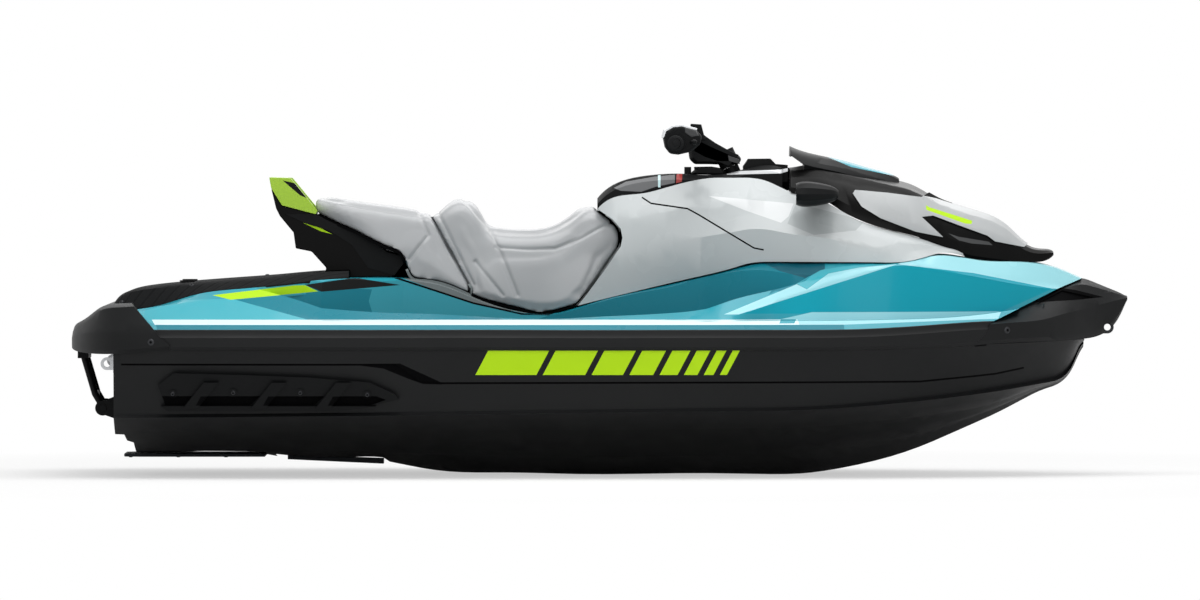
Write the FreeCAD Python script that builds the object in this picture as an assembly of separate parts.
import FreeCAD, Part
import math
import os

from FreeCAD import Vector

# A three-seat personal watercraft in millimetres. +X is the bow, +Y is port, +Z is up.
# The origin is on the waterline plane, on the centreline, at half the length.

# Fits between pieces
SEAT_GAP = 0.3          # between pieces that lie on each other
SHAFT_GAP = 0.06        # radial, shaft in bearing

# Hull
TRANSOM_X = -1520.0
HALF_BEAM = 602.0       # at the hull flange, without the rub rail
CHINE_HALF_BEAM = 548.0
KEEL_DEPTH = 255.0
FLANGE_Z = 150.0
CHINE_LIP = 10.0
STRAKE_LEDGE = 22.0
BELT_STANDOUT = 8.0
BELT_LOW_Z = 46.0
BELT_AFT_Z = 102.0

# Deck
TUB_FLOOR_Z = 10.0      # underside of the footwell floor
TUB_INSET = 75.0
FOOTWELL_FLOOR_Z = 38.0
GUNWALE_CREST_Z = 238.0
GUNWALE_WIDTH = 88.0
FOOTWELL_INNER_Y = 255.0
MAT_THICKNESS = 9.0
BAY_HALF_WIDTH = 185.0
BAY_AFT_X = -620.0
BAY_FORE_X = 640.0
BAY_TOP_Z = 226.0
BAY_FLOOR_Z = -140.0

# Rub rail, bow cap and stern bumper
RAIL_STANDOUT = 22.0
RAIL_LOW_Z = 143.0
RAIL_TOP_Z = 209.0
RAIL_LIP_Z = 194.0       # where the rail's bulb ends under its thin upper lip
CAP_RECESS = 9.0         # depth of the facet let into each side of the bow cap

# Sponsons, as heights over the hull's side
SPONSON_FACE = 20.0
SPONSON_LIP = 30.0
SPONSON_RIB = 34.0
SPONSON_SLOT = 7.0
RIB_FEET_X = (-1280.0, -1068.0, -867.0)
RIB_WIDTH = 46.0
RIB_LEAN = 66.0
SCREW_PAD_R = 13.0
SCREW_PADS = ((-1334, 8), (-1145, 12), (-936, 12), (-727, 6))

# Engine, one plain block
ENGINE_LENGTH = 640.0
ENGINE_WIDTH = 330.0
ENGINE_HEIGHT = 320.0
ENGINE_X = 40.0

# Jet pump
PUMP_Z = -92.0
PUMP_BORE_R = 78.0
PUMP_WALL = 9.0
PUMP_AFT_X = -1255.0
PUMP_FORE_X = -1055.0
FLANGE_R = 94.0
FLANGE_THICK = 14.0
HUB_R = 36.0
IMPELLER_LENGTH = 84.0
IMPELLER_BLADES = 4
BLADE_THICK = 5.0
BLADE_TIP_GAP = 1.0
STATOR_VANES = 8
VANE_THICK = 4.0
SHAFT_R = 14.0
VENTURI_EXIT_R = 54.0
VENTURI_LENGTH = 112.0
NOZZLE_IN_R = 66.0
NOZZLE_OUT_R = 56.0
NOZZLE_WALL = 6.0
NOZZLE_LENGTH = 84.0
NOZZLE_ARM_R = 80.0     # from the pump's axis to the inside of the nozzle's pivot arms
NOZZLE_ARM_THICK = 7.0
NOZZLE_PIN_R = 6.0
GATE_WALL = 8.0
GATE_HALF_WIDTH = 114.0
GATE_R = 168.0
GATE_PIN_R = 9.0
GATE_TOP_DEG = 94.0     # where the stowed gate's two lips stand, seen from starboard
GATE_LIP_DEG = 148.0
PUMP_BAY_HALF_WIDTH = 150.0
PUMP_BAY_TOP_Z = 92.0
NOZZLE_PIVOT_X = PUMP_AFT_X - VENTURI_LENGTH + 16
NOZZLE_FORE_X = NOZZLE_PIVOT_X - 24
GATE_PIVOT_X = NOZZLE_PIVOT_X + 27

# Ride plate
PLATE_THICK = 10.0

# Grab handle, seat and body
SEAT_HALF_WIDTH = 196.0
SEAT_AFT_X = -903.0
SEAT_FORE_X = 63.0
SEAT_SEAM = 6.0          # the open seam between the seat's nose and the body
NOSE_HALF_WIDTH = 112.0  # inside this the nose lies close to the body

# Console
CONSOLE_FORE_X = 572.0
GLOVEBOX_AFT_X = 40.0
GLOVEBOX_FORE_X = 240.0
GLOVEBOX_HALF_WIDTH = 80.0
GLOVEBOX_FLOOR_Z = 592.0
GLOVEBOX_LID_THICK = 14.0
COWL_HALF_WIDTH = 96.0
GAUGE_AFT_X = 462.0
GAUGE_FORE_X = 528.0
GAUGE_HALF_WIDTH = 66.0
GAUGE_FLOOR_Z = 712.0
GAUGE_TOP_Z = 734.0

# Steering
COLUMN_TOP = Vector(398.0, 0.0, 742.0)
COLUMN_AXIS = Vector(-0.42, 0.0, 0.9075)
COLUMN_R = 24.0
GRIP_R = 17.0
GRIP_LENGTH = 122.0
BAR_HALF_SPAN = 372.0
BAR_R = 11.0
BAR_MIDDLE_X = 300.0
BAR_MIDDLE_Z = 824.0
GRIP_X = 232.0
GRIP_Z = 789.0

# Front lid
LID_HINGE_X = 606.0
LID_HINGE_Z = 722.0

# Front storage bin
BIN_AFT_X = 800.0
BIN_FORE_X = 1150.0
BIN_HALF_WIDTH = 165.0
BIN_FLOOR_Z = 190.0
BIN_RIM_Z = 430.0
BIN_WALL = 5.0

# Boarding ladder
LADDER_HALF_WIDTH = 118.0
LADDER_PIVOT_X = -1566.0
LADDER_PIVOT_Z = -44.0
LADDER_TUBE_R = 10.0
LADDER_PIN_R = 12.0
BRACKET_Y = 156.0
BRACKET_THICK = 8.0

# Tow eyes
EYE_HOLE_R = 10.5
EYE_R = 20.0
EYE_THICK = 12.0
BOW_EYE_X = 1600.0
BOW_EYE_Z = 208.0

# Rear accessory sockets
SOCKET_R = 14.0
SOCKET_DEPTH = 16.0
SOCKET_X = -1300.0
SOCKET_Y = 150.0
SOCKET_RIM_Z = 358.0     # the flat rim's height


class Line:
    """A lengthwise line: a value against x, smooth through its points and never past them."""

    def __init__(self, *points):
        self.x = [p[0] for p in points]
        self.v = [p[1] for p in points]
        count = len(points)
        step = [self.x[i + 1] - self.x[i] for i in range(count - 1)]
        rise = [(self.v[i + 1] - self.v[i]) / step[i] for i in range(count - 1)]
        self.slope = [rise[0]]
        for i in range(1, count - 1):
            if rise[i - 1] * rise[i] <= 0:
                self.slope.append(0.0)
            else:
                near = 2 * step[i] + step[i - 1]
                far = step[i] + 2 * step[i - 1]
                self.slope.append((near + far) / (near / rise[i - 1] + far / rise[i]))
        self.slope.append(rise[-1])

    def __call__(self, x):
        if x <= self.x[0]:
            return self.v[0]
        if x >= self.x[-1]:
            return self.v[-1]
        i = max(k for k in range(len(self.x) - 1) if self.x[k] <= x)
        width = self.x[i + 1] - self.x[i]
        t = (x - self.x[i]) / width
        low = (1 + 2 * t) * (1 - t) ** 2 * self.v[i] + t * (1 - t) ** 2 * width * self.slope[i]
        high = t * t * (3 - 2 * t) * self.v[i + 1] + t * t * (t - 1) * width * self.slope[i + 1]
        return low + high


def ring(x, points):
    """A closed polygon in the plane at x, from (y, z) points."""
    return Part.makePolygon([Vector(x, y, z) for y, z in points + points[:1]])


def both_sides(half):
    """A full outline from its port half, which starts and ends on the centreline."""
    return half + [(-y, z) for y, z in reversed(half[1:-1])]


def loft(rings):
    return Part.makeLoft(rings, True, False)


def straight_loft(rings):
    return Part.makeLoft(rings, True, True)


def side_prism(outline, y_from, y_to):
    """An outline of (x, z) points, run across the beam."""
    wire = Part.makePolygon([Vector(x, y_from, z) for x, z in outline + outline[:1]])
    return Part.Face(wire).extrude(Vector(0, y_to - y_from, 0))


def plan_prism(outline, z_from, z_to):
    """An outline of (x, y) points, run upwards."""
    wire = Part.makePolygon([Vector(x, y, z_from) for x, y in outline + outline[:1]])
    return Part.Face(wire).extrude(Vector(0, 0, z_to - z_from))


def block(x_from, x_to, y_from, y_to, z_from, z_to):
    return Part.makeBox(x_to - x_from, y_to - y_from, z_to - z_from, Vector(x_from, y_from, z_from))


def rod(start, end, radius):
    return Part.makeCylinder(radius, (end - start).Length, start, end - start)


def cone(start, end, r_start, r_end):
    return Part.makeCone(r_start, r_end, (end - start).Length, start, end - start)


def mirrored(shape):
    return shape.mirror(Vector(0, 0, 0), Vector(0, 1, 0))


def fuse(first, *rest):
    return first.fuse(list(rest)).removeSplitter()


def solids_of(shape):
    return sorted(shape.Solids, key=lambda s: -s.Volume)


def main_solid(shape):
    return solids_of(shape)[0]


# Lengthwise lines of the hull, as half-breadths and heights against x
GUNWALE_Y = Line((-1520, HALF_BEAM - 56), (-1350, HALF_BEAM - 26), (-1100, HALF_BEAM - 8), (-600, HALF_BEAM),
                 (0, HALF_BEAM), (400, HALF_BEAM - 12), (700, HALF_BEAM - 50), (950, HALF_BEAM - 116),
                 (1150, HALF_BEAM - 196), (1300, HALF_BEAM - 280), (1400, HALF_BEAM - 352),
                 (1480, HALF_BEAM - 424), (1560, HALF_BEAM - 506), (1664, HALF_BEAM - 590))
FLANGE_LINE_Z = Line((-1520, FLANGE_Z), (725, FLANGE_Z), (1204, FLANGE_Z + 10), (1524, FLANGE_Z + 22))
KEEL_Z = Line((-1520, -192), (-1100, -200), (-700, -214), (-500, -246), (-250, -KEEL_DEPTH + 1), (200, -KEEL_DEPTH),
              (600, -KEEL_DEPTH), (870, -214), (1103, -129), (1268, -54), (1391, 9), (1454, 33), (1480, 66),
              (1504, 104), (1524, 146))
INNER_STRAKE_Z = Line((-1520, -176), (-633, -184), (11, -196), (500, -188), (870, -152), (1103, -96), (1268, -36),
                      (1391, 17), (1454, 37), (1480, 69), (1504, 107), (1524, 149))
INNER_STRAKE_Y = Line((-1520, 180), (0, 190), (500, 175), (870, 120), (1103, 75), (1268, 40), (1391, 18), (1454, 10),
                      (1524, 4))
OUTER_STRAKE_Z = Line((-1520, -120), (-633, -112), (630, -100), (950, -74), (1198, -38), (1333, 4), (1391, 24),
                      (1454, 41), (1480, 73), (1504, 111), (1524, 152))
OUTER_STRAKE_Y = Line((-1520, 368), (0, 395), (400, 375), (630, 335), (950, 235), (1198, 140), (1333, 80), (1391, 52),
                      (1454, 30), (1524, 12))
CHINE_Z = Line((-1520, -68), (-633, -59), (0, -50), (630, -43), (950, -22), (1198, 4), (1350, 27), (1454, 48),
               (1480, 80), (1504, 118), (1524, 157))
CHINE_Y = Line((-1520, CHINE_HALF_BEAM - 42), (-800, CHINE_HALF_BEAM - 8), (0, CHINE_HALF_BEAM),
               (400, CHINE_HALF_BEAM - 18), (630, CHINE_HALF_BEAM - 56), (850, CHINE_HALF_BEAM - 124),
               (1050, CHINE_HALF_BEAM - 218), (1198, CHINE_HALF_BEAM - 300), (1350, CHINE_HALF_BEAM - 398),
               (1454, CHINE_HALF_BEAM - 470), (1524, CHINE_HALF_BEAM - 518))
HULL_STATIONS = [-1520, -1300, -1000, -760, -620, -500, -380, -150, 150, 450, 650, 820, 970, 1103, 1200, 1290, 1370,
                 1425, 1465, 1495, 1524]


def hull_skin(out=0.0):
    """The hull's whole outer form up to the flange, with its sides moved out."""
    rings = []
    for x in HULL_STATIONS:
        ledge = min(STRAKE_LEDGE, 0.2 * OUTER_STRAKE_Y(x))
        chine_y = CHINE_Y(x)
        lip = min(CHINE_LIP, 0.2 * chine_y)
        half = [(0, KEEL_Z(x)),
                (INNER_STRAKE_Y(x), INNER_STRAKE_Z(x)),
                (INNER_STRAKE_Y(x) + 0.5 * ledge, INNER_STRAKE_Z(x)),
                (OUTER_STRAKE_Y(x), OUTER_STRAKE_Z(x)),
                (OUTER_STRAKE_Y(x) + 0.5 * ledge, OUTER_STRAKE_Z(x)),
                (chine_y + lip + out, CHINE_Z(x)),
                (chine_y + out, CHINE_Z(x) + lip),
                (GUNWALE_Y(x) - 4 + out, FLANGE_LINE_Z(x)),
                (0, FLANGE_LINE_Z(x))]
        rings.append(ring(x, both_sides(half)))
    return loft(rings)


def tub_outline(inset, x_aft=-1400.0, x_fore=600.0):
    """The plan outline of the deck's tub, which drops into the hull."""
    steps = [x_aft + (x_fore - x_aft) * k / 10 for k in range(11)]
    port = [(x, GUNWALE_Y(x) - inset) for x in steps]
    return port + [(x, -y) for x, y in reversed(port)]


def pump_bay():
    return block(TRANSOM_X - 60, PUMP_FORE_X, -PUMP_BAY_HALF_WIDTH, PUMP_BAY_HALF_WIDTH, -300, PUMP_BAY_TOP_Z)


def intake_duct():
    """The duct from the opening in the bottom up and aft to the pump."""
    half_width = PUMP_BORE_R - 2
    outline = [(PUMP_FORE_X - 1, PUMP_Z - half_width), (PUMP_FORE_X - 1, PUMP_Z + half_width),
               (PUMP_FORE_X + 150, PUMP_Z + half_width - 12), (-560, -300), (-900, -300)]
    return side_prism(outline, -half_width, half_width)


def shaft_bore(radius):
    return rod(Vector(PUMP_FORE_X - 20, 0, PUMP_Z), Vector(BAY_AFT_X + 5, 0, PUMP_Z), radius)


def engine_bay():
    return block(BAY_AFT_X, BAY_FORE_X, -BAY_HALF_WIDTH, BAY_HALF_WIDTH, BAY_FLOOR_Z, BAY_TOP_Z)


def stern_steps():
    """The stepped lower corner of the stern."""
    steps = [(-80, -118), (28, -123), (35, -143), (55, -150), (76, -300), (-80, -300)]
    return side_prism([(TRANSOM_X + x, z) for x, z in steps], -900, 900)


def hull():
    skin = hull_skin()
    belt_outline = [(-1500, BELT_AFT_Z), (-640, BELT_AFT_Z), (-560, BELT_LOW_Z), (1000, BELT_LOW_Z), (1240, 66),
                    (1400, 100), (1400, 300), (-1500, 300)]
    belt = hull_skin(BELT_STANDOUT).common(side_prism(belt_outline, -900, 900))
    shape = skin.fuse(belt)
    pocket = plan_prism(tub_outline(TUB_INSET - SEAT_GAP), TUB_FLOOR_Z, FLANGE_Z + 60)
    shape = shape.cut([pocket, pump_bay(), intake_duct(), shaft_bore(SHAFT_R + SHAFT_GAP + 6), engine_bay(),
                       stern_steps()])
    return main_solid(shape)


# Lengthwise lines of the deck
CREST_Z = Line((-1520, GUNWALE_CREST_Z), (700, GUNWALE_CREST_Z - 2), (1000, 240), (1222, 256), (1438, 300),
               (1516, 330), (1600, 310), (1664, 302))
SHOULDER_Y = Line((-1520, 500), (-1154, 480), (-886, HALF_BEAM - 34), (298, HALF_BEAM - 42), (420, 530), (617, 452),
                  (819, 408), (927, 386), (1198, 288), (1438, 150), (1516, 96), (1664, 10))
SHOULDER_Z = Line((-1520, 262), (-1154, 300), (-886, GUNWALE_CREST_Z + 2), (280, GUNWALE_CREST_Z + 2), (373, 245),
                  (617, 319), (819, 382), (927, 406), (1198, 367), (1438, 331), (1516, 334), (1664, 303))
LEDGE_Y = Line((373, HALF_BEAM), (420, 534), (617, 486), (819, 440), (927, 418), (1198, 304), (1438, 160), (1516, 101),
               (1664, 12))
RIDGE_Y = Line((-1520, 430), (-1154, 432), (-964, 420), (-822, 360), (-643, 232), (-200, 205), (226, 240), (430, 400),
               (617, 420), (819, 395), (927, 372), (1198, 270), (1438, 136), (1516, 80), (1664, 8))
RIDGE_Z = Line((-1520, 262), (-1422, 275), (-1365, 287), (-1255, 319), (-964, 350), (-822, 366), (-643, 364),
               (-507, 346), (-355, 286), (-230, 254), (-200, 247), (-150, 252), (-21, 288), (226, 346), (377, 370),
               (617, 357), (819, 398), (927, 410), (1198, 374), (1438, 338), (1516, 338), (1664, 304))
INNER_Y = Line((-1520, 420), (-964, 400), (-822, 340), (-643, 215), (-200, 190), (226, 222), (507, 290), (819, 345),
               (927, 340), (1095, 250), (1198, 205), (1384, 120), (1516, 50), (1664, 6))
INNER_Z = Line((-1520, 258), (-1365, 283), (-1255, 315), (-964, 346), (-822, 364), (-643, 366), (-507, 348),
               (-355, 288), (-230, 256), (-200, 249), (-150, 254), (-21, 290), (226, 348), (377, 383), (507, 412),
               (819, 413), (927, 414), (1095, 440), (1198, 420), (1384, 411), (1444, 392), (1516, 361), (1664, 305))
DECK_STATIONS = [-1520, -1440, -1365, -1255, -1154, -1020, -886, -760, -643, -507, -355, -230, -150, -21, 130, 280,
                 373, 490, 617, 720, 819, 927, 1060, 1198, 1320, 1438, 1516, 1600]


def deck_half(x):
    """The port half of the deck's outline at x."""
    gunwale = GUNWALE_Y(x)
    crest = CREST_Z(x)
    return [(0, FLANGE_LINE_Z(x) + SEAT_GAP),
            (gunwale, FLANGE_LINE_Z(x) + SEAT_GAP),
            (gunwale, FLANGE_LINE_Z(x) + 0.66 * (crest - FLANGE_LINE_Z(x))),
            (gunwale - 4, crest - 26),
            (gunwale - 32, crest),
            (min(LEDGE_Y(x), gunwale - 33), crest + 1),
            (min(SHOULDER_Y(x), gunwale - 34), SHOULDER_Z(x)),
            (min(RIDGE_Y(x), gunwale - 40), RIDGE_Z(x)),
            (min(INNER_Y(x), gunwale - 48), INNER_Z(x)),
            (0, INNER_Z(x) + 4)]


CAP_SPLIT = [(1168, 120), (1168, 158), (1203, 190), (1222, 228), (1261, 246), (1346, 286), (1438, 331), (1516, 362),
             (1720, 450), (1720, 100)]
STERN_SPLIT = [(-1343, 120), (-1343, 164), (-1370, 183), (-1391, 208), (-1448, 272), (-1470, 300), (-1540, 340),
               (-1800, 380), (-1800, 100)]


def grown(outline, centre_x, gap):
    """The outline moved towards amidships by a gap, so that its cut leaves that gap."""
    side = 1 if centre_x > 0 else -1
    return [(x - side * gap, z) for x, z in outline]


def footwell(side):
    """The space for the feet on one side, from the gunwale's inner wall to the pedestal."""
    inner = FOOTWELL_INNER_Y
    stations = [-1080, -870, -780, -620, -420, -150, 120, 330, 460, 600, 704]
    floor = Line((-1080, 338), (-870, 236), (-770, FOOTWELL_FLOOR_Z), (210, FOOTWELL_FLOOR_Z), (600, 332), (704, 402))
    inner_floor = Line((-1080, 339), (-870, 250), (-700, FOOTWELL_FLOOR_Z), (210, FOOTWELL_FLOOR_Z), (600, 338),
                       (704, 404))
    outer_y = Line((-1080, 434), (-870, HALF_BEAM - GUNWALE_WIDTH), (280, HALF_BEAM - GUNWALE_WIDTH - 12), (430, 470),
                   (600, 428), (704, 406))
    inner_y = Line((-1080, 432), (-964, 424), (-870, 404), (-760, 330), (-620, inner - 10), (-200, inner - 25),
                   (226, inner + 10), (600, 380), (704, 396))
    top = 460
    rings = []
    for x in stations:
        rings.append(ring(x, [(side * inner_y(x), inner_floor(x)), (side * outer_y(x), floor(x)),
                              (side * outer_y(x), top), (side * (inner_y(x) - 16), top)]))
    return straight_loft(rings)


def deck():
    shell = loft([ring(x, both_sides(deck_half(x))) for x in DECK_STATIONS])
    tub = plan_prism(tub_outline(TUB_INSET), TUB_FLOOR_Z, FLANGE_Z + 30)
    shape = shell.fuse(tub)
    cuts = [footwell(1), footwell(-1), engine_bay(), front_bin_form(SEAT_GAP),
            side_prism(grown(CAP_SPLIT, 1, SEAT_GAP), -900, 900),
            side_prism(grown(STERN_SPLIT, -1, SEAT_GAP), -900, 900), pump_bay()]
    return main_solid(shape.cut(cuts))


def front_bin_form(out):
    return block(BIN_AFT_X - out, BIN_FORE_X + out, -BIN_HALF_WIDTH - out, BIN_HALF_WIDTH + out, BIN_FLOOR_Z - out,
                 BIN_RIM_Z + 60)


def front_bin():
    wall = BIN_WALL
    tub = block(BIN_AFT_X, BIN_FORE_X, -BIN_HALF_WIDTH, BIN_HALF_WIDTH, BIN_FLOOR_Z, BIN_RIM_Z)
    inner = block(BIN_AFT_X + wall, BIN_FORE_X - wall, wall - BIN_HALF_WIDTH, BIN_HALF_WIDTH - wall,
                  BIN_FLOOR_Z + wall, BIN_RIM_Z + 5)
    return tub.cut(inner)


def rail_seat():
    """What the rub rails lie on: the belt's outer side, run up past the deck's edge."""
    rings = []
    for x in HULL_STATIONS:
        side = GUNWALE_Y(x) - 4 + BELT_STANDOUT + SEAT_GAP
        rings.append(ring(x, [(0, 60), (side, 60), (side, 300), (0, 300)]))
    return loft(rings)


def rub_rail():
    """One strip along each side, on the joint of hull and deck."""
    rail_low = Line((-1400, RAIL_LOW_Z), (725, RAIL_LOW_Z), (1204, RAIL_LOW_Z + 14))
    rail_top = Line((-1400, RAIL_TOP_Z), (725, RAIL_TOP_Z), (1204, RAIL_TOP_Z + 24))
    rings = []
    for x in [-1400, -1200, -900, -600, -200, 200, 500, 725, 900, 1050, 1165, 1230]:
        inner = GUNWALE_Y(x) - 10
        outer = GUNWALE_Y(x) + RAIL_STANDOUT
        low = rail_low(x)
        top = rail_top(x)
        lip = top - RAIL_TOP_Z + RAIL_LIP_Z
        rings.append(ring(x, [(inner, low), (outer - 8, low + 2), (outer, low + 12), (outer, lip - 10),
                              (outer - 8, lip), (outer - 11, top - 2), (outer - 14, top), (inner, top)]))
    strip = loft(rings)
    port = main_solid(strip.cut([side_prism(grown(CAP_SPLIT, 1, SEAT_GAP), -900, 900),
                                 side_prism(grown(STERN_SPLIT, -1, SEAT_GAP), -900, 900), rail_seat()]))
    return Part.makeCompound([port, mirrored(port)])


def bow_form(out=0.0):
    """The bow cap's outer form, with its sides moved out."""
    rings = []
    low = Line((1140, 150), (1204, 160), (1400, 168), (1526, 174), (1575, 184), (1611, 208), (1644, 256), (1662, 294))
    crease = Line((1140, 222), (1261, 226), (1375, 234), (1459, 254), (1514, 266), (1599, 287), (1662, 301))
    top = Line((1140, 228), (1261, 262), (1346, 300), (1438, 340), (1516, 361), (1580, 339), (1662, 305))
    for x in [1140, 1204, 1261, 1330, 1400, 1459, 1514, 1560, 1611, 1644, 1662]:
        wide = GUNWALE_Y(x) + RAIL_STANDOUT + out
        half = [(0, low(x)), (wide - 14, low(x)), (wide, low(x) + 0.2 * (crease(x) - low(x))),
                (wide, crease(x)), (0.62 * wide, top(x) - 0.18 * (top(x) - crease(x))), (0, top(x) + 2)]
        rings.append(ring(x, both_sides(half)))
    return loft(rings)


def bow_cap():
    cap = bow_form().common(side_prism(CAP_SPLIT, -900, 900))
    recess = side_prism([(1369, 284), (1453, 326), (1556, 303)], -900, 900).cut(bow_form(-CAP_RECESS))
    slot = block(BOW_EYE_X - 32, BOW_EYE_X + 100, -22, 22, BOW_EYE_Z - 40, BOW_EYE_Z + 28)
    cross = Vector(0, 300, 0)
    eye = Vector(BOW_EYE_X, 0, BOW_EYE_Z)
    below = hull_skin(BELT_STANDOUT + SEAT_GAP).common(block(1000, 1800, -900, 900, -300, 300))
    below.translate(Vector(0, 0, SEAT_GAP))
    return main_solid(cap.cut([slot, below, recess, rod(eye - cross, eye + cross, EYE_HOLE_R + 5)]))


def bow_eye():
    centre = Vector(BOW_EYE_X, 0, BOW_EYE_Z)
    half = Vector(0, EYE_THICK / 2, 0)
    plate = block(BOW_EYE_X - 32 + SEAT_GAP, centre.x, -EYE_THICK / 2, EYE_THICK / 2, BOW_EYE_Z - EYE_R,
                  BOW_EYE_Z + EYE_R)
    eye = rod(centre - half, centre + half, EYE_R)
    return fuse(plate, eye).cut(rod(centre - half * 3, centre + half * 3, EYE_HOLE_R))


def stern_bumper():
    wide = Line((-1660, 230), (-1650, 320), (-1620, 420), (-1570, 500), (-1500, 556), (-1400, 584), (-1330, 592))
    low = Line((-1660, 146), (-1640, 138), (-1560, 132), (-1330, 146))
    mid = Line((-1660, 178), (-1640, 190), (-1560, 196), (-1330, 196))
    top = Line((-1660, 198), (-1644, 224), (-1618, 236), (-1580, 266), (-1545, 284), (-1440, 292), (-1330, 300))
    rings = []
    for x in [-1660, -1650, -1630, -1600, -1560, -1500, -1440, -1380, -1330]:
        w = wide(x) + RAIL_STANDOUT - 8
        half = [(0, low(x)), (w - 12, low(x)), (w, low(x) + 12), (w, mid(x)), (w - 46, top(x) - 10), (w - 90, top(x)),
                (0, top(x))]
        rings.append(ring(x, both_sides(half)))
    bumper = loft(rings).common(side_prism(STERN_SPLIT, -900, 900))
    hull_room = hull_skin(BELT_STANDOUT + SEAT_GAP)
    hull_room.translate(Vector(0, 0, SEAT_GAP))
    ladder_room = block(-1700, -1540, -150, 150, 0, 176)
    return main_solid(bumper.cut([hull_room, ladder_room, pump_bay()]))


def rear_platform():
    """The black raised deck with its mat, behind the seat."""
    edge_y = Line((-1523, 400), (-1440, 426), (-1154, 430), (-964, 418), (-822, 356), (-790, 330))
    edge_z = Line((-1523, 270), (-1422, 277), (-1365, 289), (-1255, 321), (-964, 352), (-822, 368), (-790, 369))
    top = Line((-1523, 290), (-1495, 319), (-1457, 332), (-1372, 344), (-1192, 359), (-1040, 370), (-879, 384),
               (-790, 388))
    rings = []
    for x in [-1523, -1495, -1457, -1410, -1365, -1255, -1154, -1040, -964, -879, -822, -790]:
        half = [(0, edge_z(x) - 40), (edge_y(x), edge_z(x) - 40), (edge_y(x), edge_z(x)),
                (edge_y(x) - 50, top(x) - 6), (edge_y(x) - 80, top(x)), (0, top(x))]
        rings.append(ring(x, both_sides(half)))
    shape = loft(rings)
    sockets = []
    bosses = []
    for side in (1, -1):
        mouth = Vector(SOCKET_X, side * SOCKET_Y, SOCKET_RIM_Z)
        sockets.append(rod(mouth - Vector(0, 0, SOCKET_DEPTH), mouth, SOCKET_R))
        bosses.append(rod(mouth - Vector(0, 0, SOCKET_DEPTH + 6), mouth, SOCKET_R + 10))
    shape = fuse(shape, *bosses).cut([deck_body(), stern_body(), *sockets])
    return main_solid(shape)


def sponson():
    outline = [(-1381, 35), (-1331, 73), (-1113, 68), (-908, 60), (-721, 45), (-641, 9), (-628, -8), (-677, -20),
               (-813, -46), (-1350, -46)]
    low_lip = [(-1350, -46), (-1372, -30), (-700, -30), (-813, -46)]
    slot = [(-1376, 2), (-1368, -28), (-720, -28), (-668, -10), (-700, 2)]
    face = hull_skin(SPONSON_FACE).common(side_prism(outline, 300, 900))
    lip = hull_skin(SPONSON_LIP).common(side_prism(low_lip, 300, 900))
    channel = side_prism(slot, 300, 900).cut(hull_skin(SPONSON_SLOT))
    body = face.fuse(lip).cut(channel)
    rib_skin = hull_skin(SPONSON_RIB)
    added = []
    for foot in RIB_FEET_X:
        rib = [(foot - RIB_WIDTH / 2, -38), (foot + RIB_WIDTH / 2, -38), (foot + RIB_LEAN + RIB_WIDTH / 2, 44),
               (foot + RIB_LEAN - RIB_WIDTH / 2, 44)]
        added.append(rib_skin.common(side_prism(rib, 300, 900)))
    pad_skin = hull_skin(SPONSON_FACE + 4)
    for x, z in SCREW_PADS:
        added.append(pad_skin.common(rod(Vector(x, 300, z), Vector(x, 900, z), SCREW_PAD_R)))
    return main_solid(body.fuse(added).cut(hull_skin(SEAT_GAP)))


def stern_eye():
    centre = Vector(TRANSOM_X - 28, 290, 98)
    half = Vector(0, EYE_THICK / 2, 0)
    base = block(TRANSOM_X - 8, TRANSOM_X - SEAT_GAP, 262, 318, 70, 126)
    web = block(centre.x, TRANSOM_X - 4, 290 - EYE_THICK / 2, 290 + EYE_THICK / 2, 98 - EYE_R, 98 + EYE_R)
    eye = rod(centre - half, centre + half, EYE_R)
    return fuse(base, web, eye).cut(rod(centre - half * 3, centre + half * 3, EYE_HOLE_R))


def seat_profile():
    bottom = Line((-903, 578), (-863, 553), (-810, 529), (-773, 513), (-712, 480), (-661, 458), (-627, 441),
                  (-592, 368), (-507, 353), (-355, 293), (-230, 262), (-200, 253), (-169, 256), (-112, 270), (-60, 284))
    top = Line((-903, 622), (-754, 599), (-620, 581), (-564, 573), (-518, 576), (-467, 617), (-437, 619), (-403, 597),
               (-352, 525), (-280, 512), (-213, 511), (-157, 521), (-112, 543), (-68, 575), (-33, 594), (20, 578),
               (63, 540))
    return bottom, top


def seat_form():
    bottom, top = seat_profile()
    width_low = Line((-903, 120), (-800, 165), (-643, 212), (-507, 210), (-200, 188), (20, 196), (63, 200))
    width_mid = Line((-903, 128), (-800, 182), (-643, SEAT_HALF_WIDTH), (-507, 190), (-352, 180), (-200, 176),
                     (-60, 160), (63, 150))
    width_top = Line((-903, 100), (-800, 150), (-564, 160), (-440, 130), (-352, 128), (-200, 140), (-90, 110),
                     (63, 90))
    rings = []
    steps = 28
    for k in range(steps + 1):
        x = SEAT_AFT_X + (SEAT_FORE_X - SEAT_AFT_X) * k / steps
        zb = bottom(x)
        zt = top(x)
        fall = min(42.0, 0.36 * (zt - zb))
        half = [(0, zb), (width_low(x), zb), (width_mid(x), 0.5 * zb + 0.5 * zt), (width_mid(x) - 6, zt - fall),
                (0.5 * (width_mid(x) + width_top(x)), zt - 0.34 * fall), (0.72 * width_top(x), zt - 0.05 * fall),
                (0, zt)]
        rings.append(ring(x, both_sides(half)))
    return loft(rings)


SEAT_SPLIT = [(-538, 700), (-538, 571), (-409, 335), (-409, 200)]
SEAT_FRONT = [(-17, 640), (-11, 579), (33, 549), (57, 521), (63, 492), (57, 464), (11, 396), (-55, 306), (-80, 276),
              (-80, 200), (-409, 200), (-409, 335), (-538, 571), (-538, 700)]


def front_seat():
    return main_solid(seat_form_body().common(side_prism(SEAT_FRONT, -400, 400)).cut(deck_body()))


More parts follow.
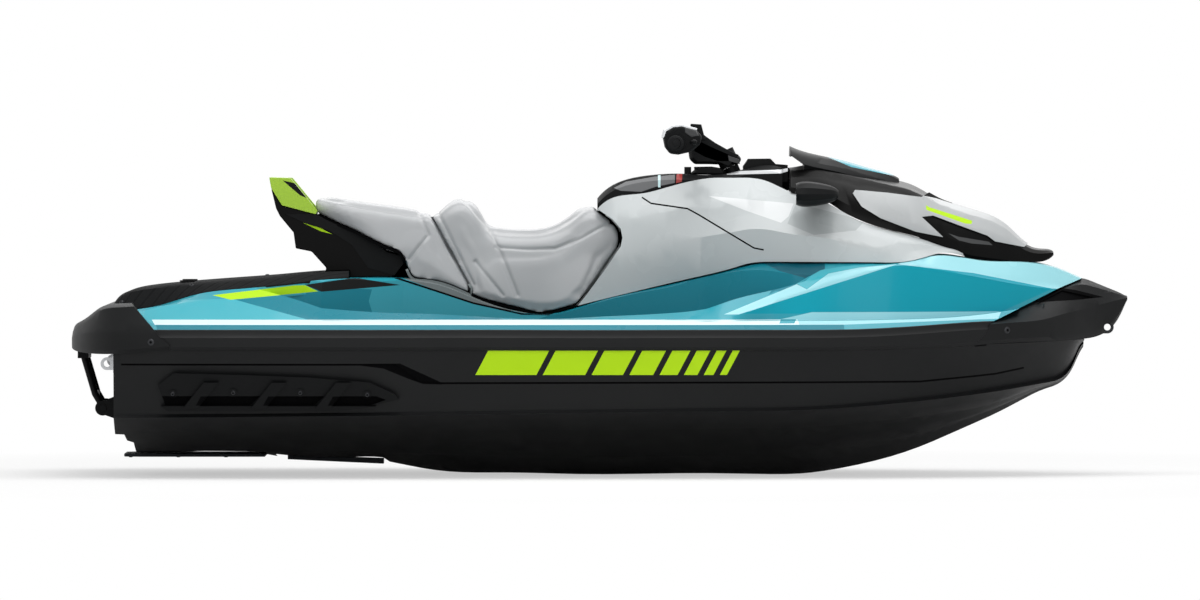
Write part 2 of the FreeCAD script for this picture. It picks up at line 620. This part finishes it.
def rear_seat():
    region = [(x - SEAT_GAP, z) for x, z in SEAT_SPLIT] + [(-1000, 200), (-1000, 700)]
    return main_solid(seat_form_body().common(side_prism(region, -400, 400)).cut(deck_body()))


SUPPORT_OUTLINE = [(-1036, 646), (-1000, 592), (-894, 565), (-863, 548), (-810, 524), (-773, 508), (-712, 475),
                   (-674, 450), (-604, 431), (-650, 372), (-700, 340), (-880, 340), (-863, 397), (-909, 448),
                   (-959, 458), (-966, 508), (-1009, 560), (-1021, 584)]
SUPPORT_HALF_WIDTH = 150.0


def handle_support():
    shape = side_prism(SUPPORT_OUTLINE, -SUPPORT_HALF_WIDTH, SUPPORT_HALF_WIDTH)
    shape = shape.cut([deck_body(), rear_platform_body(), seat_form_body()])
    return main_solid(shape)


def grab_handle():
    side_outline = [(-1042, 681), (-975, 679), (-891, 577), (-896, 566), (-1002, 594), (-1036, 648)]
    shape = side_prism(side_outline, -160, 160)
    gap = plan_prism([(-985, -95), (-985, 95), (-860, 118), (-860, -118)], 500, 760)
    return main_solid(shape.cut([gap, side_prism(SUPPORT_OUTLINE, -SUPPORT_HALF_WIDTH - SEAT_GAP,
                                            SUPPORT_HALF_WIDTH + SEAT_GAP), seat_form_body()]))


# The joint between the grey body and the front lid, as a height and a half-breadth
JOINT_Z = Line((560, 655), (611, 626), (660, 617), (712, 603), (775, 564), (819, 543), (882, 521), (980, 497),
               (1077, 465), (1154, 437), (1201, 428), (1381, 412), (1429, 434))
JOINT_Y = Line((560, 222), (611, 236), (712, 262), (819, 276), (920, 268), (1010, 246), (1077, 224), (1154, 186),
               (1240, 140), (1340, 86), (1429, 40))

BODY_TOP_Z = Line((-20, 575), (48, 622), (127, 630), (262, 664), (352, 680), (475, 680), (540, 664), (600, 634),
                  (660, 617), (712, 603), (775, 564), (819, 543), (882, 521), (980, 497), (1077, 465), (1154, 437))
BODY_LOW_Z = Line((-90, 274), (-21, 292), (226, 352), (377, 387), (507, 418), (819, 417), (927, 416), (1095, 446),
                  (1154, 430))
BODY_LOW_Y = Line((-90, 200), (226, 236), (507, 300), (819, 352), (927, 345), (1095, 248), (1154, 220))
BODY_MID_Y = Line((-90, 196), (100, 232), (400, 300), (700, 340), (819, 344), (927, 322), (1095, 236), (1154, 200))
BODY_UPPER_Y = Line((-90, 160), (100, 205), (300, 245), (475, 262), (620, 268), (712, 288), (819, 310), (927, 298),
                    (1095, 228), (1154, 192))
BODY_TOP_Y = Line((-90, 120), (48, 150), (262, 168), (475, 186), (600, 228), (712, 262), (819, 276), (920, 268),
                  (1010, 246), (1077, 224), (1154, 186))
BODY_AFT_X = -90.0
BODY_FORE_X = 1140.0


def body_form(inset=0.0):
    rings = []
    steps = 22
    for k in range(steps + 1):
        x = BODY_AFT_X + (BODY_FORE_X - BODY_AFT_X) * k / steps
        low = BODY_LOW_Z(x) - (0 if inset == 0 else 40)
        top = BODY_TOP_Z(x) - inset if x > -20 else 460 + (x + 90) * 1.6 - inset
        half = [(0, low), (BODY_LOW_Y(x) - inset, low), (BODY_MID_Y(x) - inset, 0.6 * BODY_LOW_Z(x) + 0.4 * top),
                (BODY_UPPER_Y(x) - inset, 0.25 * BODY_LOW_Z(x) + 0.75 * top),
                (BODY_TOP_Y(x) - inset, top), (0, top)]
        rings.append(ring(x, both_sides(half)))
    return loft(rings)


def side_panel():
    """The port half of the grey body, as thick as the whole wall."""
    wall = 22
    inner = body_form(wall).common(block(60, 1090, -500, 500, 200, 700))
    seam = [(x + SEAT_SEAM, z) for x, z in SEAT_FRONT]
    nose = [(x + SEAT_GAP, z) for x, z in SEAT_FRONT]
    lid_room = side_prism([(598, 640), (598, 900), (1500, 900), (1500, 640)], -500, 500)
    shape = body_form().cut([inner, side_prism(seam, NOSE_HALF_WIDTH, 400), side_prism(nose, -1, 400), lid_room, deck_body(), lid_form(1, 1),
                             block(-400, 1600, -900, 0.15, 0, 1200), console_form(SEAT_GAP),
                             front_bin_form(SEAT_GAP)])
    return main_solid(shape)


def console_form(out=0.0):
    top = Line((-17, 609), (67, 669), (171, 689), (257, 692), (330, 688), (453, 706), (600, 712))
    low = Line((-17, 560), (600, 600))
    rings = []
    for x in [-10, 67, 171, 257, 330, 453, CONSOLE_FORE_X + out]:
        width = 112 + 0.06 * x + out
        rings.append(ring(x, both_sides([(0, low(x) - out), (width, low(x) - out), (width, top(x) - 18 + out),
                                         (width - 30, top(x) + out), (0, top(x) + out)])))
    return loft(rings)


COWL_OUTLINE = [(450, 690), (450, 716), (466, 739), (536, 740), (552, 723), (590, 720), (590, 668), (540, 660)]


def console():
    bin_room = block(GLOVEBOX_AFT_X, GLOVEBOX_FORE_X, -GLOVEBOX_HALF_WIDTH, GLOVEBOX_HALF_WIDTH, GLOVEBOX_FLOOR_Z, 800)
    column_room = rod(COLUMN_TOP - COLUMN_AXIS * 220, COLUMN_TOP + COLUMN_AXIS * 60, COLUMN_R + 12)
    cowl = side_prism(COWL_OUTLINE, -COWL_HALF_WIDTH, COWL_HALF_WIDTH)
    screen_room = block(GAUGE_AFT_X - SEAT_GAP, GAUGE_FORE_X + SEAT_GAP, -GAUGE_HALF_WIDTH - SEAT_GAP,
                        GAUGE_HALF_WIDTH + SEAT_GAP, GAUGE_FLOOR_Z, 800)
    shape = console_form().fuse(cowl).cut([bin_room, column_room, screen_room, seat_form_body()])
    return main_solid(shape)


def glovebox_lid():
    gap = SEAT_GAP
    room = block(GLOVEBOX_AFT_X + gap, GLOVEBOX_FORE_X - gap, gap - GLOVEBOX_HALF_WIDTH, GLOVEBOX_HALF_WIDTH - gap,
                 GLOVEBOX_FLOOR_Z, 800)
    lowered = console_form()
    lowered.translate(Vector(0, 0, -GLOVEBOX_LID_THICK))
    return main_solid(console_form().common(room).cut(lowered))


def at_axis(distance):
    return COLUMN_TOP + COLUMN_AXIS * distance


def steering_neck():
    foot = rod(Vector(546, 0, 412), Vector(546, 0, 430), 52).cut(deck_body())
    return main_solid(fuse(rod(at_axis(-362), at_axis(-30), COLUMN_R), foot).cut(deck_body()))


def bent_line(points, radius):
    """A line through the points with an arc at each corner."""
    edges = []
    last = points[0]
    for before, corner, after in zip(points, points[1:], points[2:]):
        back = (before - corner).normalize()
        ahead = (after - corner).normalize()
        half = back.getAngle(ahead) / 2
        reach = radius / math.tan(half)
        start = corner + back * reach
        end = corner + ahead * reach
        middle = corner + (back + ahead).normalize() * (radius / math.sin(half) - radius)
        edges.append(Part.makeLine(last, start))
        edges.append(Part.Arc(start, middle, end).toShape())
        last = end
    edges.append(Part.makeLine(last, points[-1]))
    return Part.Wire(edges)


def bar_points(side):
    """The bar's corners on one side, from the middle out to the end of the grip."""
    return [Vector(BAR_MIDDLE_X, side * 46, BAR_MIDDLE_Z), Vector(288, side * 118, 818),
            Vector(GRIP_X + 8, side * (BAR_HALF_SPAN - GRIP_LENGTH - 24), GRIP_Z),
            Vector(GRIP_X, side * BAR_HALF_SPAN, GRIP_Z)]


def handlebar():
    """The tube, its clamp and the neck's padded cover, turning on the steering neck."""
    hub = rod(at_axis(-29.5), at_axis(24), COLUMN_R + 8)
    middle = Vector(BAR_MIDDLE_X, 0, BAR_MIDDLE_Z)
    path = bent_line(bar_points(-1)[::-1] + bar_points(1), 24)
    start = bar_points(-1)[-1]
    circle = Part.Wire(Part.makeCircle(BAR_R, start, bar_points(-1)[-1] - bar_points(-1)[-2]))
    tube = path.makePipeShell([circle], True, True)
    cover = side_prism([(246, 792), (262, 838), (300, 842), (330, 812), (362, 790), (412, 762), (436, 752),
                        (404, 716), (372, 730), (330, 744), (300, 760), (272, 776)], -44, 44)
    clamp = side_prism([(275, 800), (285, 850), (318, 848), (330, 800)], -60, 60)
    return fuse(tube, cover, clamp, hub)


def grips():
    made = []
    for side in (1, -1):
        inner, end = bar_points(side)[2:]
        along = (end - inner).normalize()
        sleeve = rod(inner + along * 32, end + along * 5, GRIP_R)
        made.append(sleeve.cut(rod(inner, end + along * 0.3, BAR_R)))
    return Part.makeCompound(made)


def controls():
    """A switch housing and a finger lever inboard of each grip."""
    made = []
    for side in (1, -1):
        inner, end = bar_points(side)[2:]
        along = (end - inner).normalize()
        housing = rod(inner + along * 9, inner + along * 31.5, 27)
        ahead = inner + Vector(46, side * 2, 4)
        arm = rod(inner + along * 20, ahead, 10)
        tip = Vector(GRIP_X + 62, side * (BAR_HALF_SPAN - 26), GRIP_Z + 4)
        lever = rod(ahead, tip, 7)
        piece = fuse(housing, arm, Part.makeSphere(12, ahead), lever, Part.makeSphere(8.5, tip))
        made.append(piece.cut(rod(inner - along * 60, end + along * 5, BAR_R + SHAFT_GAP)))
    return Part.makeCompound(made)


def gauge():
    return block(GAUGE_AFT_X, GAUGE_FORE_X, -GAUGE_HALF_WIDTH, GAUGE_HALF_WIDTH, GAUGE_FLOOR_Z + SEAT_GAP, GAUGE_TOP_Z)


LID_TOP_Z = Line((597, 712), (658, 720), (759, 708), (832, 694), (892, 682), (942, 670), (1017, 643), (1053, 617),
                 (1129, 589), (1222, 560), (1261, 540), (1309, 504), (1346, 468), (1429, 447))
LID_TOP_Y = Line((597, 150), (712, 168), (882, 168), (1077, 132), (1201, 94), (1346, 50), (1429, 16))
LID_AFT_X = 597.0
LID_FORE_X = 1429.0
LID_WALL = 14.0
LID_LIFT = 2.5              # between the front lid's lower edge and the body and deck under it


def lid_form(out=0.0, drop=0.0):
    """The front lid's outer form, with its sides and top moved out and its underside lowered."""
    rings = []
    steps = 17
    for k in range(steps + 1):
        x = LID_AFT_X + (LID_FORE_X - LID_AFT_X) * k / steps
        low = JOINT_Z(x) + LID_LIFT
        high = LID_TOP_Z(x)
        wide = JOINT_Y(x) + out
        narrow = LID_TOP_Y(x) + 0.6 * out
        half = [(wide, low), (wide - 4, low + 0.22 * (high - low)),
                (0.5 * (wide + narrow) + 6, low + 0.62 * (high - low)),
                (narrow, high - 0.13 * (high - low) + 0.5 * out), (0, high + out)]
        foot = [(0, low)]
        if drop:
            foot = [(0, low - drop), (wide, low - drop)]
        rings.append(ring(x, both_sides(foot + half)))
    return loft(rings)


def lid_shell():
    inner = lid_form(-LID_WALL, 90).common(block(LID_AFT_X + 40, LID_FORE_X - 130, -500, 500, 300, 900))
    return main_solid(lid_form().cut([inner, deck_body()]))


HOOD_PANEL_OUTLINE = [(792, 632), (800, 643), (900, 634), (1009, 620), (1052, 640), (1129, 700), (1400, 700),
                      (1350, 474), (1335, 462), (1242, 480), (1218, 498), (1141, 526), (1045, 562), (1009, 558),
                      (1077, 494), (988, 512), (879, 554), (819, 591)]
HOOD_PANEL_THICK = 6.0


def hood_panels():
    """The pale skin on the lid, from its sides over the nose."""
    skin = lid_form(HOOD_PANEL_THICK).cut(lid_form(SEAT_GAP, 20))
    return main_solid(skin.common(side_prism(HOOD_PANEL_OUTLINE, -500, 500)))


def deflector():
    """The thin wind deflector over the lid's rear half."""
    top = Line((597, 780), (658, 758), (759, 736), (832, 715), (892, 699), (942, 678))
    wide = Line((597, 172), (700, 160), (832, 118), (942, 62))
    rings = []
    for x in [597, 658, 720, 780, 832, 887, 942]:
        z = top(x)
        w = wide(x)
        half = [(0, LID_TOP_Z(x) - 12), (0.6 * w, LID_TOP_Z(x) - 16), (w - 6, LID_TOP_Z(x) - 22), (w, z - 40),
                (0.92 * w, z - 26), (0.5 * w, z - 5), (0, z)]
        rings.append(ring(x, both_sides(half)))
    hollow = side_prism([(590, 690), (590, 745), (604, 748), (640, 722), (640, 690)], -300, 300)
    return main_solid(loft(rings).cut([lid_form(SEAT_GAP, 20), hollow]))


def mirror_housing():
    rings = []
    for x, grow in [(612, 0.86), (625, 1.0), (680, 0.95), (725, 0.66), (745, 0.3)]:
        ring_points = []
        for k in range(12):
            angle = 2 * math.pi * k / 12
            ring_points.append((350 + 66 * grow * math.cos(angle), 630 + 38 * grow * math.sin(angle)))
        rings.append(ring(x, ring_points))
    pod = loft(rings)
    stalk = side_prism([(650, 624), (714, 624), (728, 646), (665, 654)], 205, 320)
    return main_solid(fuse(pod, stalk).cut([lid_form(SEAT_GAP, 20), hood_panels()]))


def engine():
    centre = ENGINE_X
    low = BAY_FLOOR_Z
    return block(centre - ENGINE_LENGTH / 2, centre + ENGINE_LENGTH / 2, -ENGINE_WIDTH / 2, ENGINE_WIDTH / 2, low,
                 low + ENGINE_HEIGHT)


def on_axis(x):
    return Vector(x, 0, PUMP_Z)


def pump_housing():
    outer = PUMP_BORE_R + PUMP_WALL
    body = rod(on_axis(PUMP_AFT_X), on_axis(PUMP_FORE_X - SEAT_GAP), outer)
    flange = rod(on_axis(PUMP_FORE_X - SEAT_GAP - FLANGE_THICK), on_axis(PUMP_FORE_X - SEAT_GAP), FLANGE_R)
    rear_flange = rod(on_axis(PUMP_AFT_X), on_axis(PUMP_AFT_X + FLANGE_THICK), FLANGE_R - 12)
    tube = fuse(body, flange, rear_flange)
    tube = tube.cut(rod(on_axis(PUMP_AFT_X - 5), on_axis(PUMP_FORE_X + 5), PUMP_BORE_R))
    stator_fore = PUMP_AFT_X + 75
    hub = rod(on_axis(PUMP_AFT_X), on_axis(stator_fore), HUB_R)
    tail = cone(on_axis(PUMP_AFT_X - 50), on_axis(PUMP_AFT_X), 12, HUB_R)
    vanes = []
    for k in range(STATOR_VANES):
        vane = block(PUMP_AFT_X + 6, stator_fore - 6, HUB_R - 4, PUMP_BORE_R + 4, -VANE_THICK / 2, VANE_THICK / 2)
        vane.translate(Vector(0, 0, PUMP_Z))
        vane.rotate(on_axis(0), Vector(1, 0, 0), 360 * k / STATOR_VANES)
        vanes.append(vane)
    shape = fuse(tube, hub, tail, *vanes)
    return shape.cut(rod(on_axis(PUMP_AFT_X + 30), on_axis(stator_fore + 10), SHAFT_R + SHAFT_GAP))


def impeller_blade(start_angle):
    """One blade: a strip from hub to tip, wound along the hub as a ruled loft."""
    length = IMPELLER_LENGTH
    tip = PUMP_BORE_R - BLADE_TIP_GAP
    wires = []
    steps = 6
    fore = PUMP_FORE_X - 34
    for k in range(steps + 1):
        x = fore - length * k / steps
        angle = math.radians(start_angle + 75 * k / steps)
        half = BLADE_THICK / 2
        out = Vector(0, math.cos(angle), math.sin(angle))
        side = Vector(0, -math.sin(angle), math.cos(angle))
        base = Vector(x, 0, PUMP_Z)
        corners = [base + out * (HUB_R - 5) - side * half, base + out * tip - side * half,
                   base + out * tip + side * half, base + out * (HUB_R - 5) + side * half]
        wires.append(Part.makePolygon(corners + corners[:1]))
    return Part.makeLoft(wires, True, False)


def impeller():
    fore = PUMP_FORE_X - 30
    aft = fore - IMPELLER_LENGTH - 8
    hub = rod(on_axis(aft), on_axis(fore), HUB_R)
    nose = cone(on_axis(fore), on_axis(fore + 34), HUB_R, SHAFT_R + 2)
    blades = [impeller_blade(360 * k / IMPELLER_BLADES) for k in range(IMPELLER_BLADES)]
    return fuse(hub, nose, *blades)


def impeller_shaft():
    fore = ENGINE_X - ENGINE_LENGTH / 2 - 4
    aft_stub = rod(on_axis(PUMP_AFT_X + 34), on_axis(PUMP_FORE_X - 30 - IMPELLER_LENGTH - 8), SHAFT_R)
    drive = rod(on_axis(PUMP_FORE_X + 4), on_axis(fore), SHAFT_R)
    return Part.makeCompound([aft_stub, drive])


def venturi():
    aft = PUMP_AFT_X - VENTURI_LENGTH
    front = PUMP_AFT_X - SEAT_GAP
    outer = cone(on_axis(aft), on_axis(front), VENTURI_EXIT_R + 7, PUMP_BORE_R + 7)
    flange = rod(on_axis(front - 12), on_axis(front), FLANGE_R - 12)
    inner = cone(on_axis(aft - 0.01), on_axis(front + 0.01), VENTURI_EXIT_R, PUMP_BORE_R)
    ears = []
    for side in (1, -1):
        foot = Vector(NOZZLE_PIVOT_X, 0, PUMP_Z + side * (VENTURI_EXIT_R + 2))
        head = Vector(NOZZLE_PIVOT_X, 0, PUMP_Z + side * (NOZZLE_ARM_R - SEAT_GAP))
        pin_end = Vector(NOZZLE_PIVOT_X, 0, PUMP_Z + side * (NOZZLE_ARM_R + NOZZLE_ARM_THICK))
        ears.append(rod(foot, head, NOZZLE_PIN_R + 7))
        ears.append(rod(foot, pin_end, NOZZLE_PIN_R))
    pins = [rod(Vector(GATE_PIVOT_X, side * (VENTURI_EXIT_R + 4), PUMP_Z),
                Vector(GATE_PIVOT_X, side * (GATE_HALF_WIDTH + 2), PUMP_Z), GATE_PIN_R) for side in (1, -1)]
    return fuse(outer, flange, *ears, *pins).cut(inner)


def nozzle():
    """The steered cone, hung between two arms on the venturi's upright pins."""
    aft = NOZZLE_FORE_X - NOZZLE_LENGTH
    outer = cone(on_axis(aft), on_axis(NOZZLE_FORE_X), NOZZLE_OUT_R + NOZZLE_WALL, NOZZLE_IN_R + NOZZLE_WALL)
    inner = cone(on_axis(aft), on_axis(NOZZLE_FORE_X), NOZZLE_OUT_R, NOZZLE_IN_R)
    arms = []
    for side in (1, -1):
        low, high = sorted((side * NOZZLE_ARM_R, side * (NOZZLE_ARM_R + NOZZLE_ARM_THICK)))
        arms.append(block(NOZZLE_FORE_X - 26, NOZZLE_PIVOT_X, -14, 14, PUMP_Z + low, PUMP_Z + high))
        arms.append(rod(Vector(NOZZLE_PIVOT_X, 0, PUMP_Z + low), Vector(NOZZLE_PIVOT_X, 0, PUMP_Z + high), 14))
        low, high = sorted((side * NOZZLE_OUT_R, side * (NOZZLE_ARM_R + NOZZLE_ARM_THICK)))
        arms.append(block(NOZZLE_FORE_X - 26, NOZZLE_FORE_X - 4, -14, 14, PUMP_Z + low, PUMP_Z + high))
    reach = Vector(0, 0, 2 * GATE_R)
    pivot = Vector(NOZZLE_PIVOT_X, 0, PUMP_Z)
    return fuse(outer, *arms).cut([inner, rod(pivot - reach, pivot + reach, NOZZLE_PIN_R + SHAFT_GAP)])


def gate_direction(degrees, reach):
    """The (x, z) point at an angle round the gate's pivot, from the bow over the top."""
    angle = math.radians(degrees)
    return (GATE_PIVOT_X + reach * math.cos(angle), PUMP_Z + reach * math.sin(angle))


def reverse_gate():
    """A curved bucket with a cheek on each side, stowed above the nozzle."""
    wide = Vector(0, GATE_HALF_WIDTH, 0)
    pivot = Vector(GATE_PIVOT_X, 0, PUMP_Z)
    wall = Vector(0, GATE_WALL, 0)
    drum = rod(pivot - wide, pivot + wide, GATE_R).cut(rod(pivot - wide + wall, pivot + wide - wall, GATE_R - GATE_WALL))
    sector = [(GATE_PIVOT_X, PUMP_Z)]
    for k in range(4):
        sector.append(gate_direction(GATE_TOP_DEG + (GATE_LIP_DEG - GATE_TOP_DEG) * k / 3, 1.2 * GATE_R))
    bosses = [rod(pivot - wide, pivot - wide + wall, GATE_PIN_R + 13),
              rod(pivot + wide - wall, pivot + wide, GATE_PIN_R + 13)]
    pin_room = rod(pivot - wide * 2, pivot + wide * 2, GATE_PIN_R + SHAFT_GAP)
    return fuse(drum.common(side_prism(sector, -300, 300)), *bosses).cut(pin_room)


def ride_plate():
    wide = PUMP_BAY_HALF_WIDTH - SEAT_GAP
    fore = PUMP_FORE_X - SEAT_GAP
    outline = [(-1500, -wide + 30), (-1500, wide - 30), (-1450, wide), (fore, wide), (fore, -wide), (-1450, -wide)]
    low = KEEL_Z(-1300) - 2
    return plan_prism(outline, low, low + PLATE_THICK)


def intake_grate():
    """Bars along the opening in the bottom, on a cross bar at each end."""
    wide = PUMP_BORE_R - 2 - SEAT_GAP
    aft, fore = -986.0, -684.0
    bars = [side_prism([(fore, -222), (aft, -208), (aft, -196), (fore, -206)], y - 3.5, y + 3.5)
            for y in (-52, -26, 0, 26, 52)]
    rear_bar = block(aft, aft + 14, -wide, wide, -206, -194)
    front_bar = block(fore - 14, fore, -wide, wide, -220, -206)
    return fuse(rear_bar, front_bar, *bars)


def ladder():
    made = []
    pivot = Vector(LADDER_PIVOT_X, 0, LADDER_PIVOT_Z)
    for side in (1, -1):
        across = Vector(0, side * LADDER_HALF_WIDTH, 0)
        path = [pivot + across, Vector(-1592, 0, 0) + across, Vector(-1628, 0, 122) + across]
        for start, end in zip(path, path[1:]):
            made.append(rod(start, end, LADDER_TUBE_R))
            made.append(Part.makeSphere(LADDER_TUBE_R, end))
    width = Vector(0, LADDER_HALF_WIDTH, 0)
    step = rod(Vector(-1592, 0, 0) - width, Vector(-1592, 0, 0) + width, LADDER_TUBE_R - 1)
    tread = block(-1646, -1612, -LADDER_HALF_WIDTH - 10, LADDER_HALF_WIDTH + 10, 112, 138)
    reach = Vector(0, BRACKET_Y + BRACKET_THICK + 2, 0)
    pin = rod(pivot - reach, pivot + reach, LADDER_PIN_R)
    return fuse(pin, step, tread, *made)


def ladder_bracket():
    made = []
    front = TRANSOM_X - SEAT_GAP
    for side in (1, -1):
        low, high = sorted((side * BRACKET_Y, side * (BRACKET_Y + BRACKET_THICK)))
        pivot = Vector(LADDER_PIVOT_X, low, LADDER_PIVOT_Z)
        across = Vector(0, BRACKET_THICK, 0)
        plate = side_prism([(front, -80), (front, -6), (-1540, -14), (LADDER_PIVOT_X, LADDER_PIVOT_Z + 20),
                            (LADDER_PIVOT_X, LADDER_PIVOT_Z - 20)], low, high)
        boss = rod(pivot, pivot + across, 24)
        bore = rod(pivot - across, pivot + across * 2, LADDER_PIN_R + SHAFT_GAP)
        made.append(plate.fuse(boss).cut(bore).removeSplitter())
    return Part.makeCompound(made)


def footwell_mats():
    made = []
    slab = block(-690, 200, -900, 900, FOOTWELL_FLOOR_Z + SEAT_GAP, FOOTWELL_FLOOR_Z + MAT_THICKNESS)
    for side in (1, -1):
        made.append(main_solid(footwell(side).common(slab)))
    return Part.makeCompound(made)


def lanyard_post():
    return rod(Vector(275, -56, 660), Vector(275, -56, 714), 11).cut(console_form(SEAT_GAP))


def fuel_cap():
    return main_solid(rod(Vector(560, 290, 520), Vector(560, 342, 523), 38).cut(cached("body_form", body_form)))


CACHE = {}


def cached(name, make):
    if name not in CACHE:
        CACHE[name] = make()
    return CACHE[name].copy()


def deck_body():
    return cached("deck", deck)


def stern_body():
    return cached("stern_bumper", stern_bumper)


def rear_platform_body():
    return cached("rear_platform", rear_platform)


def seat_form_body():
    return cached("seat_form", seat_form)


def build():
    port_panel = side_panel()
    port_sponson = sponson()
    port_mirror = mirror_housing()
    port_eye = stern_eye()
    return {
        "hull": hull(),
        "deck": deck_body(),
        "engine": engine(),
        "rub_rails": rub_rail(),
        "bow_cap": bow_cap(),
        "bow_eye": bow_eye(),
        "stern_bumper": stern_body(),
        "rear_platform": rear_platform_body(),
        "sponson_port": port_sponson,
        "sponson_starboard": mirrored(port_sponson),
        "stern_eye_port": port_eye,
        "stern_eye_starboard": mirrored(port_eye),
        "footwell_mats": footwell_mats(),
        "front_seat": front_seat(),
        "rear_seat": rear_seat(),
        "handle_support": handle_support(),
        "grab_handle": grab_handle(),
        "side_panel_port": port_panel,
        "side_panel_starboard": mirrored(port_panel),
        "console": console(),
        "glovebox_lid": glovebox_lid(),
        "gauge": gauge(),
        "lanyard_post": lanyard_post(),
        "steering_neck": steering_neck(),
        "handlebar": handlebar(),
        "grips": grips(),
        "controls": controls(),
        "front_lid": lid_shell(),
        "hood_panels": hood_panels(),
        "deflector": deflector(),
        "front_bin": front_bin(),
        "mirror_port": port_mirror,
        "mirror_starboard": mirrored(port_mirror),
        "fuel_cap": fuel_cap(),
        "pump_housing": pump_housing(),
        "impeller": impeller(),
        "impeller_shaft": impeller_shaft(),
        "venturi": venturi(),
        "steering_nozzle": nozzle(),
        "reverse_gate": reverse_gate(),
        "ride_plate": ride_plate(),
        "intake_grate": intake_grate(),
        "boarding_ladder": ladder(),
        "ladder_bracket": ladder_bracket(),
    }


def main():
    os.makedirs("parts", exist_ok=True)
    for name, shape in build().items():
        if not shape.isValid():
            print("not valid:", name)
        shape.exportStep(os.path.join("parts", name + ".step"))


main()
